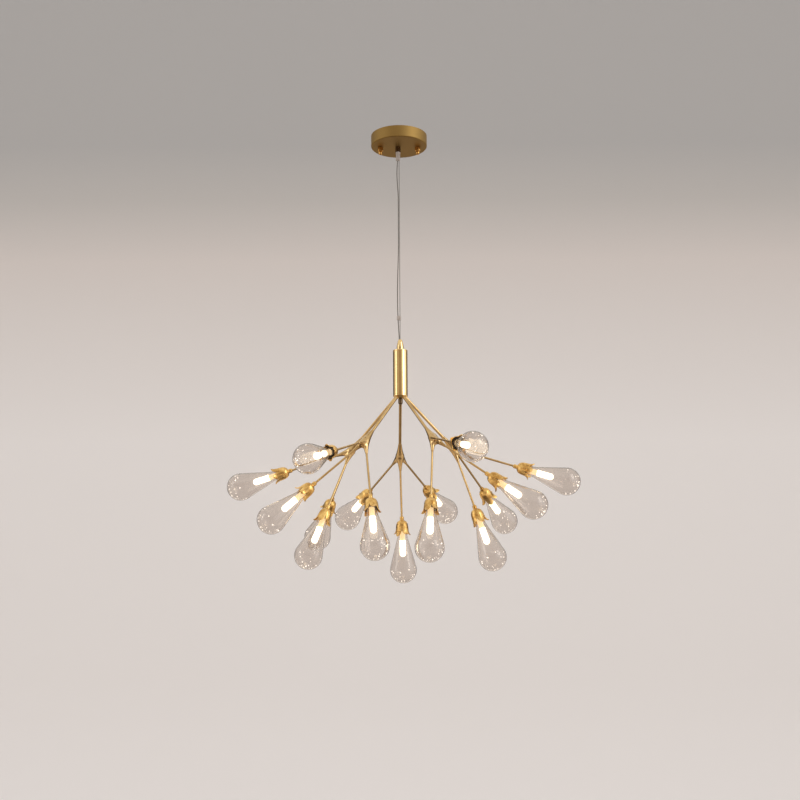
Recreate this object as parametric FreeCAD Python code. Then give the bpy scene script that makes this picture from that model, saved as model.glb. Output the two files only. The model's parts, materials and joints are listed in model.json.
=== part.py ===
import FreeCAD, Part

import math
import os

# Branch chandelier: a shallow ceiling canopy, a steel wire with a fine clear cable beside it, a short
# stem, and five branches.  Each branch is a rod, a three-way fork and three arms, and each arm ends in
# a cast flower calyx that holds a clear glass drop with a small lamp inside.
# Millimetres.  Z is up.  The origin is on the ceiling plane, on the axis of the canopy and the wire.
# Seen from the front, X runs to the right and Y away from the viewer.

# ---------------------------------------------------------------- clearances
seat_gap = 0.3          # between pieces that move against each other
thread_gap = 0.05       # radial, between a screwed or fitted piece and its hole
cut_margin = 1.0        # how far a cutting shape runs past the face it opens
same_place = 1e-6       # points closer than this are one point

# ---------------------------------------------------------------- canopy and crossbar
canopy_diameter = 120.0
canopy_height = 25.0
canopy_wall = 1.2
canopy_edge_radius = 2.4
canopy_inner_edge_radius = 1.2
crossbar_length = 104.0
crossbar_width = 22.0
crossbar_thickness = 2.0
crossbar_corner_radius = 4.0
screw_slot_spacing = 48.0
screw_slot_length = 14.0
screw_slot_width = 5.2
stud_spacing = 80.0
stud_diameter = 4.0
stud_hole_clearance = 0.3
knob_nut_diameter = 12.0
knob_nut_barrel = 9.0
knob_nut_bevel = 1.0
knob_nut_waist_diameter = 7.0
knob_nut_ball_diameter = 9.0
knob_nut_thread_depth = 10.0
knob_nut_flutes = 16
knob_nut_flute_diameter = 1.2

# ---------------------------------------------------------------- driver and terminal block
driver_length = 62.0
driver_width = 27.0
driver_height = 16.0
driver_edge_radius = 2.0
driver_setback = 13.5       # from the canopy axis to the driver's near side
driver_lead_rise = 11.0     # from the canopy's floor to the lead that enters the driver
terminal_length = 22.0
terminal_width = 15.0
terminal_height = 12.0
terminal_poles = 3
terminal_hole_diameter = 3.4
terminal_place_x = -30.0
terminal_place_y = -24.0

# ---------------------------------------------------------------- wire, cable and cord grip
wire_diameter = 1.2
cable_diameter = 1.8
grip_offset = -2.2          # the grip holds wire and cable, so its axis lies between them
cable_exit_offset = -3.6
bush_diameter = 6.8
bush_above_mouth = 2.0
cone_length = 18.0
cone_mouth_wall = 0.7
cone_bore_diameter = 6.6
cone_flare = 0.8            # on the radius, from the cone's mouth to its top
cone_spigot_step = 0.9      # on the radius, between the cone's top and its spigot
cone_spigot_length = 4.0
collar_length = 12.0
collar_overhang = 0.4       # on the radius, past the cone's top
collar_wall = 2.0
shank_step = 0.7            # on the radius, between the collar and its shank
shank_length = 8.2          # through the canopy's floor and up inside
shank_cap = 3.0
grip_nut_across_flats = 14.0
grip_nut_thickness = 3.0
stop_diameter = 3.2
stop_length = 7.0
clip_height = 8.5
clip_depth = 4.4
clip_wall = 1.3
clip_edge_radius = 1.4
clip_above_finial = 43.0

# The clear cable, from the grip to the finial: it bows out, runs down beside the wire, drifts out again
# to the clip, and comes back to the finial.  Points are x, y and the share of the way from the grip's
# mouth down to the finial's tip; the two ends are added to them.
cable_route = [
    (-4.0, 0.2, 0.028),
    (-4.9, 0.5, 0.068),
    (-4.3, 0.7, 0.123),
    (-2.4, 0.6, 0.183),
    (-2.1, 0.3, 0.264),
    (-2.3, -0.2, 0.377),
    (-2.2, -0.4, 0.490),
    (-3.4, -0.3, 0.590),
    (-4.9, 0.0, 0.703),
    (-5.0, 0.2, 0.796),
    (-4.4, 0.0, 0.862),
    (-3.9, -0.1, 0.902),
    (-2.5, 0.0, 0.956),
    (-1.8, 0.0, 0.990),
]

# ---------------------------------------------------------------- stem
drop_to_stem = 476.0        # from the ceiling to the top of the stem
stem_diameter = 30.0
stem_length = 99.0
stem_wall = 1.5
stem_edge_radius = 0.8
top_cap_thickness = 3.0
spigot_length = 5.0
finial_diameter = 14.0
finial_height = 22.5
finial_bulge_place = 0.62   # share of the height at which the side has narrowed by the next share
finial_bulge_share = 0.25
finial_shank_wall = 1.0
finial_shank_length = 8.0
finial_mouth_diameter = 6.0
finial_mouth_depth = 6.0
finial_tip_rim = 0.6
finial_bore_diameter = 8.0
seat_washer_thickness = 1.5
cable_mouth_offset = -1.8
stem_lead_offset = -2.75
ferrule_diameter = 2.8
ferrule_length = 6.5
splice_diameter = 9.0
splice_length = 28.0
splice_end_radius = 2.25
stem_lead_length = 40.0
bridge_thickness = 5.0
bridge_above_hub = 10.0
bridge_way_diameter = 7.0
bridge_way_offset = 8.5
hub_flange = 4.0
hub_spigot_length = 16.0
hub_cavity_diameter = 19.0
hub_floor = 4.5
hub_dome_diameter = 25.0
hub_dome_height = 5.0
hub_lead_way = 2.5
bolt_diameter = 5.0
bolt_head_diameter = 9.5
bolt_head_length = 12.0

# ---------------------------------------------------------------- branches
rod_diameter = 6.0
rod_bore = 4.0
arm_diameter = 4.3
arm_bore = 2.8
rods_meet_above_stem_foot = 10.0    # the five rods' axes meet on the stem's axis, this far up
rod_root = 9.5                      # from that meeting point to the rod's upper end
fork_distance = 160.5               # from that meeting point to the fork's centre
arm_reach = 129.0                   # from the fork's centre to the calyx
fork_leg_length = 33.0
fork_core_diameter = 19.0
fork_core_step = 0.2                # on the radius, between the core's ball and each leg's foot
fork_socket_wall = 0.5
fork_socket_depth = 12.0
fork_waist_place = 0.5              # a place along a leg
fork_waist_share = 0.38             # how much of the leg's flare is left there

# ---------------------------------------------------------------- calyx, lampholder, lamp and glass drop
# Heights are along the arm, from the foot of the calyx.
calyx_collar_diameter = 8.6
calyx_collar_length = 8.0
calyx_floor = 2.5
calyx_shoulder_diameter = 22.4
calyx_shoulder_height = 14.5
calyx_ledge_height = 18.0           # the ledge that the glass stands on
calyx_bell_diameter = 26.4
calyx_bell_height = 25.0
calyx_mouth_height = 42.0
calyx_mouth_diameter = 35.0
calyx_flare_share = 0.25            # how far the sepals have spread half way to their tips
calyx_wall = 1.3
sepal_count = 5
sepal_notch_height = 26.0
sepal_tip_width = 1.0
sepal_waist_place = 0.65            # a place up the gap between two sepals
sepal_waist_share = 0.45            # how wide the gap has grown there
glass_neck_diameter = 21.0
glass_neck_length = 25.0
glass_wall = 1.5
glass_ball_diameter = 57.0
glass_ball_height = 113.7
holder_diameter = 12.6
holder_length = 20.0
holder_pin_spacing = 4.0
holder_web = 1.7                    # left between a pin hole's foot and the end of the lead way
lamp_pin_diameter = 0.8
lamp_pin_length = 5.0
lamp_base_diameter = 11.4
lamp_base_length = 20.0
lamp_diameter = 13.0
lamp_length = 55.0

# Each branch: azimuth from +X and lean from straight down of its rod, turn of its fork about the rod,
# and the lean from the rod's line and the extra turn of each of its three hand-set arms (degrees).
branches = {
    "front_left": {
        "azimuth_angle": 230,
        "lean_angle": 43,
        "turn_angle": 24,
        "arm_angles": [(32.5, 3), (32.5, -3), (33, 0)],
    },
    "left": {
        "azimuth_angle": 161,
        "lean_angle": 43,
        "turn_angle": 23,
        "arm_angles": [(32, 0), (33.5, 0), (32.5, 0)],
    },
    "back": {
        "azimuth_angle": 91,
        "lean_angle": 44,
        "turn_angle": 64,
        "arm_angles": [(32, 0), (32.5, -1), (32.5, 2)],
    },
    "right": {
        "azimuth_angle": 16,
        "lean_angle": 45,
        "turn_angle": -37,
        "arm_angles": [(32, 0), (32.5, -1), (32, 1)],
    },
    "front_right": {
        "azimuth_angle": 304,
        "lean_angle": 45,
        "turn_angle": -32,
        "arm_angles": [(34.5, 1), (32.5, 0), (31.5, -1)],
    },
}

# ---------------------------------------------------------------- places worked out from the above
canopy_radius = canopy_diameter / 2
canopy_floor_z = canopy_wall - canopy_height
ball_radius = bush_diameter / 2
ball_reach = ball_radius + seat_gap
grip_mouth_z = -canopy_height - collar_length - cone_length
pivot_z = grip_mouth_z + bush_above_mouth
cone_mouth_radius = ball_reach + cone_mouth_wall
cone_top_radius = cone_mouth_radius + cone_flare
cone_spigot_radius = cone_top_radius - cone_spigot_step
collar_radius = cone_top_radius + collar_overhang
shank_radius = collar_radius - shank_step
shank_top_z = -canopy_height + shank_length
stem_top_z = -drop_to_stem
stem_foot_z = stem_top_z - stem_length
stem_bore_radius = stem_diameter / 2 - stem_wall
finial_tip_z = stem_top_z + finial_height
finial_shank_radius = finial_bore_diameter / 2 + finial_shank_wall
seat_top_z = finial_tip_z - finial_mouth_depth
seat_foot_z = seat_top_z - seat_washer_thickness
splice_top_z = seat_top_z - stem_lead_length
hub_top_z = stem_foot_z + hub_flange + hub_spigot_length
bridge_foot_z = hub_top_z + bridge_above_hub
bridge_top_z = bridge_foot_z + bridge_thickness
dome_foot_z = stem_foot_z - hub_dome_height
rods_meet = FreeCAD.Vector(0, 0, stem_foot_z + rods_meet_above_stem_foot)
glass_bore_radius = glass_neck_diameter / 2 + seat_gap
holder_bore_radius = holder_diameter / 2 + seat_gap
calyx_floor_top = calyx_collar_length + calyx_floor
lamp_foot = calyx_floor_top + holder_length + seat_gap


def vector(x, y, z):
    """A point or direction."""
    return FreeCAD.Vector(x, y, z)


def cylinder(radius, low, high, x=0.0, y=0.0):
    """An upright cylinder between two heights."""
    return Part.makeCylinder(radius, high - low, vector(x, y, low), vector(0, 0, 1))


def ring(outer_radius, inner_radius, low, high, x=0.0, y=0.0):
    """An upright tube between two heights."""
    tube = cylinder(outer_radius, low, high, x, y)
    return tube.cut(cylinder(inner_radius, low - cut_margin, high + cut_margin, x, y))


def hexagon(across_flats, low, high, x=0.0, y=0.0):
    """A six-sided bar between two heights."""
    corner_radius = across_flats / 2 / math.cos(math.radians(30))
    corners = []
    for i in range(7):
        angle = math.radians(60 * i)
        corners.append(vector(x + corner_radius * math.cos(angle), y + corner_radius * math.sin(angle), low))
    return Part.Face(Part.makePolygon(corners)).extrude(vector(0, 0, high - low))


def turned(start, *steps):
    """A solid of revolution about Z.  A step is a point (radius, height) that a straight line goes to,
    or a pair of such points that an arc passes through and ends at.  The outline closes by itself."""
    edges = []
    here = vector(start[0], 0, start[1])
    first = here
    for step in steps:
        if isinstance(step[0], tuple):
            through = vector(step[0][0], 0, step[0][1])
            there = vector(step[1][0], 0, step[1][1])
            edges.append(Part.Arc(here, through, there).toShape())
        else:
            there = vector(step[0], 0, step[1])
            edges.append(Part.LineSegment(here, there).toShape())
        here = there
    if here.distanceToPoint(first) > same_place:
        edges.append(Part.LineSegment(here, first).toShape())
    face = Part.Face(Part.Wire(edges))
    return face.revolve(vector(0, 0, 0), vector(0, 0, 1), 360)


def placed(shape, origin, direction):
    """A copy of a shape modelled up the Z axis, set at an origin along a direction."""
    copy = shape.copy()
    copy.Placement = FreeCAD.Placement(origin, FreeCAD.Rotation(vector(0, 0, 1), direction))
    return copy


def rounded_edges(shape, radius, chosen):
    """Fillets the edges of a shape that a test picks out."""
    edges = [edge for edge in shape.Edges if chosen(edge)]
    return shape.makeFillet(radius, edges)


def upright(edge):
    """Whether an edge runs straight up."""
    box = edge.BoundBox
    return box.ZLength > same_place and box.XLength < same_place and box.YLength < same_place


def cord_tube(points, diameter, name):
    """A tube along straight runs joined by tangent arcs, each as large as its two runs allow."""
    points = [vector(*point) for point in points]
    edges = []
    here = points[0]
    length = 0.0
    radii = []
    for before, corner, after in zip(points, points[1:], points[2:]):
        back = (before - corner).normalize()
        ahead = (after - corner).normalize()
        half_turn = (math.pi - back.getAngle(ahead)) / 2
        reach = 0.45 * min(before.distanceToPoint(corner), corner.distanceToPoint(after))
        radius = reach / math.tan(half_turn)
        radii.append(radius)
        arc_start = corner + back * reach
        arc_end = corner + ahead * reach
        middle = (back + ahead).normalize()
        arc_middle = corner + middle * (radius / math.cos(half_turn) - radius)
        edges.append(Part.LineSegment(here, arc_start).toShape())
        edges.append(Part.Arc(arc_start, arc_middle, arc_end).toShape())
        length += here.distanceToPoint(arc_start) + 2 * half_turn * radius
        here = arc_end
    edges.append(Part.LineSegment(here, points[-1]).toShape())
    length += here.distanceToPoint(points[-1])
    start_direction = (points[1] - points[0]).normalize()
    section = Part.Wire([Part.makeCircle(diameter / 2, points[0], start_direction)])
    tube = Part.Wire(edges).makePipeShell([section], True, False)
    section_area = math.pi * diameter**2 / 4
    print(name, "length", round(length, 1), "smallest arc radius", round(min(radii), 1))
    print(name, "volume over section times length", round(tube.Volume / (section_area * length), 4))
    return tube


# ---------------------------------------------------------------- ceiling canopy
def ceiling_crossbar():
    """The flat bar that two ceiling screws hold up, with threaded holes for the canopy's studs."""
    bar = Part.makeBox(
        crossbar_length,
        crossbar_width,
        crossbar_thickness,
        vector(-crossbar_length / 2, -crossbar_width / 2, -crossbar_thickness),
    )
    bar = rounded_edges(bar, crossbar_corner_radius, upright)
    low = -crossbar_thickness - cut_margin
    for side in (-1, 1):
        bar = bar.cut(cylinder(stud_diameter / 2 + thread_gap, low, cut_margin, side * stud_spacing / 2))
        middle = side * screw_slot_spacing / 2
        half_run = (screw_slot_length - screw_slot_width) / 2
        for end in (-1, 1):
            bar = bar.cut(cylinder(screw_slot_width / 2, low, cut_margin, middle + end * half_run))
        slot = Part.makeBox(
            2 * half_run,
            screw_slot_width,
            cut_margin - low,
            vector(middle - half_run, -screw_slot_width / 2, low),
        )
        bar = bar.cut(slot)
    return bar


def canopy_cup():
    """The spun cup that covers the crossbar, open to the ceiling."""
    edge = canopy_edge_radius
    inner_edge = canopy_inner_edge_radius
    inner_radius = canopy_radius - canopy_wall
    foot = -canopy_height
    sag = 1 - math.sin(math.radians(45))
    outer_corner = (canopy_radius - edge * sag, foot + edge * sag)
    inner_corner = (inner_radius - inner_edge * sag, canopy_floor_z + inner_edge * sag)
    cup = turned(
        (0, foot),
        (canopy_radius - edge, foot),
        (outer_corner, (canopy_radius, foot + edge)),
        (canopy_radius, 0),
        (inner_radius, 0),
        (inner_radius, canopy_floor_z + inner_edge),
        (inner_corner, (inner_radius - inner_edge, canopy_floor_z)),
        (0, canopy_floor_z),
    )
    low = foot - cut_margin
    high = canopy_floor_z + cut_margin
    for side in (-1, 1):
        hole_radius = stud_diameter / 2 + stud_hole_clearance
        cup = cup.cut(cylinder(hole_radius, low, high, side * stud_spacing / 2))
    return cup.cut(cylinder(shank_radius + thread_gap, low, high, grip_offset))


def canopy_studs():
    """The two threaded studs that reach down from the crossbar."""
    foot = -canopy_height - knob_nut_thread_depth + seat_gap
    studs = [cylinder(stud_diameter / 2, foot, 0, side * stud_spacing / 2) for side in (-1, 1)]
    return Part.makeCompound(studs)


def knob_nut():
    """A fluted barrel with a ball end and a blind thread, hanging from the height zero."""
    barrel_radius = knob_nut_diameter / 2
    end_radius = knob_nut_ball_diameter / 2
    waist_radius = knob_nut_waist_diameter / 2
    bevel = knob_nut_bevel
    waist_z = -knob_nut_barrel - bevel
    end_centre_z = waist_z - math.sqrt(end_radius**2 - waist_radius**2)
    nut = turned(
        (0, 0),
        (barrel_radius - bevel, 0),
        (barrel_radius, -bevel),
        (barrel_radius, -knob_nut_barrel + bevel),
        (waist_radius, waist_z),
        ((end_radius, end_centre_z), (0, end_centre_z - end_radius)),
    )
    for i in range(knob_nut_flutes):
        angle = 2 * math.pi * i / knob_nut_flutes
        x = barrel_radius * math.cos(angle)
        y = barrel_radius * math.sin(angle)
        nut = nut.cut(cylinder(knob_nut_flute_diameter / 2, waist_z, cut_margin, x, y))
    return nut.cut(cylinder(stud_diameter / 2 + thread_gap, -knob_nut_thread_depth, cut_margin))


def canopy_knob_nuts():
    """The two hand-turned nuts under the canopy."""
    nut = knob_nut()
    nuts = []
    for side in (-1, 1):
        nuts.append(placed(nut, vector(side * stud_spacing / 2, 0, -canopy_height), vector(0, 0, 1)))
    return Part.makeCompound(nuts)


def led_driver():
    """The lamp driver, lying on the canopy's floor behind the crossbar."""
    box = Part.makeBox(
        driver_length,
        driver_width,
        driver_height,
        vector(-driver_length / 2, driver_setback, canopy_floor_z),
    )
    return rounded_edges(box, driver_edge_radius, upright)


def terminal_block():
    """The block that joins the mains leads, with a lead hole and a screw hole for each pole."""
    block = Part.makeBox(
        terminal_length,
        terminal_width,
        terminal_height,
        vector(
            terminal_place_x - terminal_length / 2,
            terminal_place_y - terminal_width / 2,
            canopy_floor_z,
        ),
    )
    pitch = terminal_length / terminal_poles
    hole_radius = terminal_hole_diameter / 2
    middle_z = canopy_floor_z + terminal_height / 2
    for i in range(terminal_poles):
        x = terminal_place_x + (i - (terminal_poles - 1) / 2) * pitch
        lead_hole = Part.makeCylinder(
            hole_radius,
            terminal_width + 2 * cut_margin,
            vector(x, terminal_place_y - terminal_width / 2 - cut_margin, middle_z),
            vector(0, 1, 0),
        )
        screw_top = canopy_floor_z + terminal_height + cut_margin
        screw_hole = cylinder(hole_radius, middle_z, screw_top, x, terminal_place_y)
        block = block.cut(lead_hole).cut(screw_hole)
    return block


# ---------------------------------------------------------------- cord grip, wire and cable
def height_off_ball(offset, radius):
    """How far from the ball's centre an upright cord's end lies when it just clears the ball."""
    inner_edge = abs(offset - grip_offset) - radius
    return math.sqrt(ball_reach**2 - max(inner_edge, 0) ** 2)


def cord_grip_collar():
    """The grip's collar under the canopy, with the threaded shank that goes up through its floor."""
    foot = -canopy_height - collar_length
    collar = cylinder(collar_radius, foot, -canopy_height, grip_offset)
    collar = collar.fuse(cylinder(shank_radius, -canopy_height, shank_top_z, grip_offset))
    bore_top = shank_top_z - shank_cap
    collar = collar.cut(cylinder(shank_radius - collar_wall, foot - cut_margin, bore_top, grip_offset))
    socket_top = foot + cone_spigot_length
    collar = collar.cut(cylinder(cone_spigot_radius + thread_gap, foot - cut_margin, socket_top, grip_offset))
    top = shank_top_z + cut_margin
    collar = collar.cut(cylinder(wire_diameter / 2 + thread_gap, bore_top - cut_margin, top))
    cable_radius = cable_diameter / 2 + thread_gap
    return collar.cut(cylinder(cable_radius, bore_top - cut_margin, top, cable_exit_offset))


def cord_grip_nut():
    """The nut inside the canopy that holds the grip."""
    top = canopy_floor_z + grip_nut_thickness
    nut = hexagon(grip_nut_across_flats, canopy_floor_z, top, grip_offset)
    low = canopy_floor_z - cut_margin
    return nut.cut(cylinder(shank_radius + thread_gap, low, top + cut_margin, grip_offset))


def cord_grip_cone():
    """The clear tapered end of the grip, with a round seat for the bush at its mouth."""
    top = grip_mouth_z + cone_length
    spigot_top = top + cone_spigot_length
    cone = turned(
        (0, grip_mouth_z),
        (cone_mouth_radius, grip_mouth_z),
        (cone_top_radius, top),
        (cone_spigot_radius, top),
        (cone_spigot_radius, spigot_top),
        (0, spigot_top),
    )
    cone = cone.cut(cylinder(cone_bore_diameter / 2, pivot_z, spigot_top + cut_margin))
    cone = cone.cut(Part.makeSphere(ball_reach, vector(0, 0, pivot_z)))
    return placed(cone, vector(grip_offset, 0, 0), vector(0, 0, 1))


def cord_grip_bush():
    """The soft ball in the grip's mouth that wire and cable are moulded into."""
    return Part.makeSphere(ball_radius, vector(grip_offset, 0, pivot_z))


def wire_top_end():
    """The wire's hidden upper end and the stop crimped on it, resting on the grip's shank."""
    radius = wire_diameter / 2
    stop_top = shank_top_z + stop_length
    stop = ring(stop_diameter / 2, radius, shank_top_z, stop_top)
    tail = cylinder(radius, pivot_z + height_off_ball(0, radius), stop_top)
    return Part.makeCompound([stop, tail])


def driver_lead():
    """The cable's hidden upper end, from the grip up and back into the driver."""
    foot = pivot_z + height_off_ball(cable_exit_offset, cable_diameter / 2)
    turn_z = canopy_floor_z + driver_lead_rise
    points = [
        (cable_exit_offset, 0, foot),
        (cable_exit_offset, 0, turn_z),
        (cable_exit_offset, driver_setback, turn_z),
    ]
    return cord_tube(points, cable_diameter, "driver_lead")


def suspension_wire():
    """The steel wire that carries the lamp, straight from the grip to its ferrule in the finial."""
    radius = wire_diameter / 2
    foot = seat_foot_z - seat_gap - ferrule_length
    return cylinder(radius, foot, pivot_z - height_off_ball(0, radius))


def power_cable():
    """The free stretch of the clear cable beside the wire."""
    top = pivot_z - height_off_ball(cable_exit_offset, cable_diameter / 2)
    drop = grip_mouth_z - finial_tip_z
    points = [(cable_exit_offset, 0, top)]
    points += [(x, y, grip_mouth_z - share * drop) for x, y, share in cable_route]
    points.append((cable_mouth_offset, 0, seat_top_z + seat_gap))
    return cord_tube(points, cable_diameter, "power_cable")


def cable_clip(cable):
    """The small clear clip that keeps cable and wire together above the finial."""
    foot = finial_tip_z + clip_above_finial
    top = foot + clip_height
    reach = cable.common(cylinder(stem_diameter / 2, foot, top)).BoundBox
    left = reach.XMin - clip_wall
    right = wire_diameter / 2 + clip_wall
    box = Part.makeBox(right - left, clip_depth, clip_height, vector(left, -clip_depth / 2, foot))
    box = rounded_edges(box, clip_edge_radius, upright)
    return box.cut(cylinder(wire_diameter / 2, foot - cut_margin, top + cut_margin)).cut(cable)


def wire_end_ferrule():
    """The ferrule crimped on the wire's lower end, which carries the lamp on the seat washer."""
    top = seat_foot_z - seat_gap
    return ring(ferrule_diameter / 2, wire_diameter / 2, top - ferrule_length, top)


# ---------------------------------------------------------------- stem
def finial():
    """The bullet-shaped cap on the stem, bored for wire and cable, with a threaded shank below."""
    base_radius = finial_diameter / 2
    tip_radius = finial_mouth_diameter / 2 + finial_tip_rim
    bulge_radius = base_radius + (tip_radius - base_radius) * finial_bulge_share
    bulge_z = stem_top_z + finial_height * finial_bulge_place
    body = turned(
        (0, stem_top_z),
        (base_radius, stem_top_z),
        ((bulge_radius, bulge_z), (tip_radius, finial_tip_z)),
        (0, finial_tip_z),
    )
    shank_foot = stem_top_z - finial_shank_length
    body = body.fuse(cylinder(finial_shank_radius, shank_foot, stem_top_z))
    body = body.cut(cylinder(finial_mouth_diameter / 2, seat_top_z - cut_margin, finial_tip_z + cut_margin))
    return body.cut(cylinder(finial_bore_diameter / 2, shank_foot - cut_margin, seat_top_z))


def wire_seat_washer():
    """The washer that the wire's ferrule pulls up against, with a way for the cable."""
    washer = cylinder(finial_bore_diameter / 2 - thread_gap, seat_foot_z, seat_top_z)
    low = seat_foot_z - cut_margin
    high = seat_top_z + cut_margin
    washer = washer.cut(cylinder(wire_diameter / 2 + seat_gap, low, high))
    return washer.cut(cylinder(cable_diameter / 2 + thread_gap, low, high, stem_lead_offset))


def stem_top_cap():
    """The disc that closes the stem's top and takes the finial's shank."""
    outer_radius = stem_diameter / 2
    edge = stem_edge_radius
    foot = stem_top_z - top_cap_thickness
    spigot_foot = foot - spigot_length
    cap = turned(
        (0, stem_top_z),
        (outer_radius - edge, stem_top_z),
        (outer_radius, stem_top_z - edge),
        (outer_radius, foot),
        (stem_bore_radius - thread_gap, foot),
        (stem_bore_radius - thread_gap, spigot_foot),
        (0, spigot_foot),
    )
    hole_radius = finial_shank_radius + thread_gap
    return cap.cut(cylinder(hole_radius, spigot_foot - cut_margin, stem_top_z + cut_margin))


def stem_tube():
    """The polished tube of the stem."""
    low = stem_foot_z + hub_flange
    high = stem_top_z - top_cap_thickness
    return ring(stem_diameter / 2, stem_bore_radius, low, high)


def stem_bridge():
    """The threaded disc inside the stem that the hub's bolt pulls against, with two lead holes."""
    disc = cylinder(stem_bore_radius - thread_gap, bridge_foot_z, bridge_top_z)
    low = bridge_foot_z - cut_margin
    high = bridge_top_z + cut_margin
    disc = disc.cut(cylinder(bolt_diameter / 2 + thread_gap, low, high))
    for side in (-1, 1):
        disc = disc.cut(cylinder(bridge_way_diameter / 2, low, high, side * bridge_way_offset))
    return disc


def branch_hub():
    """The hub at the stem's foot: a flange, a domed underside and a bored socket for each rod."""
    outer_radius = stem_diameter / 2
    edge = stem_edge_radius
    flange_top = stem_foot_z + hub_flange
    dome_radius = hub_dome_diameter / 2
    sphere_radius = (dome_radius**2 + hub_dome_height**2) / (2 * hub_dome_height)
    half_radius = dome_radius / 2
    half_drop = math.sqrt(sphere_radius**2 - half_radius**2) - sphere_radius + hub_dome_height
    spigot_radius = stem_bore_radius - thread_gap
    hub = turned(
        (0, dome_foot_z),
        ((half_radius, stem_foot_z - half_drop), (dome_radius, stem_foot_z)),
        (outer_radius - edge, stem_foot_z),
        (outer_radius, stem_foot_z + edge),
        (outer_radius, flange_top),
        (spigot_radius, flange_top),
        (spigot_radius, hub_top_z),
        (0, hub_top_z),
    )
    hub = hub.cut(cylinder(hub_cavity_diameter / 2, stem_foot_z + hub_floor, hub_top_z + cut_margin))
    hub = hub.cut(cylinder(bolt_diameter / 2 + thread_gap, dome_foot_z - cut_margin, hub_top_z))
    socket = cylinder(rod_diameter / 2 + thread_gap, rod_root - seat_gap, rod_root + stem_diameter)
    lead_way = cylinder(rod_bore / 2, rod_root - hub_lead_way, rod_root)
    for branch in branches.values():
        direction = rod_direction(branch)
        hub = hub.cut(placed(socket, rods_meet, direction))
        hub = hub.cut(placed(lead_way, rods_meet, direction))
    return hub


def hub_bolt():
    """The bolt that draws the hub up into the stem, with a round dark head under the dome."""
    head_radius = bolt_head_diameter / 2
    shoulder_z = dome_foot_z - bolt_head_length + head_radius
    slant = math.sin(math.radians(45))
    bolt = turned(
        (0, dome_foot_z - bolt_head_length),
        (
            (head_radius * slant, shoulder_z - head_radius * slant),
            (head_radius, shoulder_z),
        ),
        (head_radius, dome_foot_z),
        (bolt_diameter / 2, dome_foot_z),
        (bolt_diameter / 2, bridge_top_z),
        (0, bridge_top_z),
    )
    return bolt


def stem_lead():
    """The cable's lower end inside the stem, from the seat washer to the splice."""
    return cylinder(cable_diameter / 2, splice_top_z, seat_top_z - seat_gap, stem_lead_offset)


def lead_splice():
    """The sleeve in which the cable is joined to the leads of the five branches."""
    radius = splice_diameter / 2
    end_radius = splice_end_radius
    slant = math.sin(math.radians(45))
    foot = splice_top_z - splice_length
    inner = radius - end_radius
    sleeve = turned(
        (0, foot),
        (inner, foot),
        ((inner + end_radius * slant, foot + end_radius - end_radius * slant), (radius, foot + end_radius)),
        (radius, splice_top_z - end_radius),
        ((inner + end_radius * slant, splice_top_z - end_radius + end_radius * slant), (inner, splice_top_z)),
        (0, splice_top_z),
    )
    return placed(sleeve, vector(stem_lead_offset, 0, 0), vector(0, 0, 1))


# ---------------------------------------------------------------- branches
def rod_frame(branch):
    """The rod's direction, and the two directions across it from which its fork's turn is counted."""
    azimuth = math.radians(branch["azimuth_angle"])
    lean = math.radians(branch["lean_angle"])
    outward = vector(math.cos(azimuth), math.sin(azimuth), 0)
    sideways = vector(-math.sin(azimuth), math.cos(azimuth), 0)
    up = vector(0, 0, 1)
    along = outward * math.sin(lean) - up * math.cos(lean)
    across = outward * math.cos(lean) + up * math.sin(lean)
    return along, across, sideways


def rod_direction(branch):
    """The direction of a branch's rod, away from the stem."""
    return rod_frame(branch)[0]


def fork_centre(branch):
    """Where the axes of a branch's rod and arms meet."""
    return rods_meet + rod_direction(branch) * fork_distance


def arm_directions(branch):
    """The directions of a branch's three arms, away from the fork."""
    along, across, sideways = rod_frame(branch)
    directions = []
    for i, (lean, extra_turn) in enumerate(branch["arm_angles"]):
        lean = math.radians(lean)
        turn = math.radians(branch["turn_angle"] + 120 * i + extra_turn)
        spread = across * math.cos(turn) + sideways * math.sin(turn)
        directions.append(along * math.cos(lean) + spread * math.sin(lean))
    return directions


def main_rod(branch):
    """The tube from the hub to the fork."""
    end = fork_distance - fork_leg_length + fork_socket_depth
    tube = ring(rod_diameter / 2, rod_bore / 2, rod_root, end)
    return placed(tube, rods_meet, rod_direction(branch))


def fork_leg(end_radius):
    """One flared leg of a fork, from the fork's centre up the Z axis."""
    core_radius = fork_core_diameter / 2 - fork_core_step
    waist_radius = end_radius + (core_radius - end_radius) * fork_waist_share
    waist = (waist_radius, fork_leg_length * fork_waist_place)
    end = (end_radius, fork_leg_length)
    return turned((0, 0), (core_radius, 0), (waist, end), (0, fork_leg_length))


def fork_bore(socket_radius, way_radius):
    """The socket and the lead way of one leg, as a solid to cut away."""
    socket_foot = fork_leg_length - fork_socket_depth
    way = cylinder(way_radius, 0, socket_foot + cut_margin)
    return way.fuse(cylinder(socket_radius, socket_foot, fork_leg_length + cut_margin))


def fork(branch):
    """The cast fork that joins a rod to three arms with smooth webs."""
    centre = fork_centre(branch)
    rod_leg = fork_leg(rod_diameter / 2 + fork_socket_wall)
    arm_leg = fork_leg(arm_diameter / 2 + fork_socket_wall)
    rod_hole = fork_bore(rod_diameter / 2 + thread_gap, rod_bore / 2)
    arm_hole = fork_bore(arm_diameter / 2 + thread_gap, arm_bore / 2)
    legs = [(rod_leg, rod_hole, rod_direction(branch) * -1)]
    legs += [(arm_leg, arm_hole, direction) for direction in arm_directions(branch)]
    core = Part.makeSphere(fork_core_diameter / 2, centre)
    casting = core
    for leg, _, direction in legs:
        casting = casting.fuse(core.fuse(placed(leg, centre, direction)))
    for _, hole, direction in legs:
        casting = casting.cut(placed(hole, centre, direction))
    return casting


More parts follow.
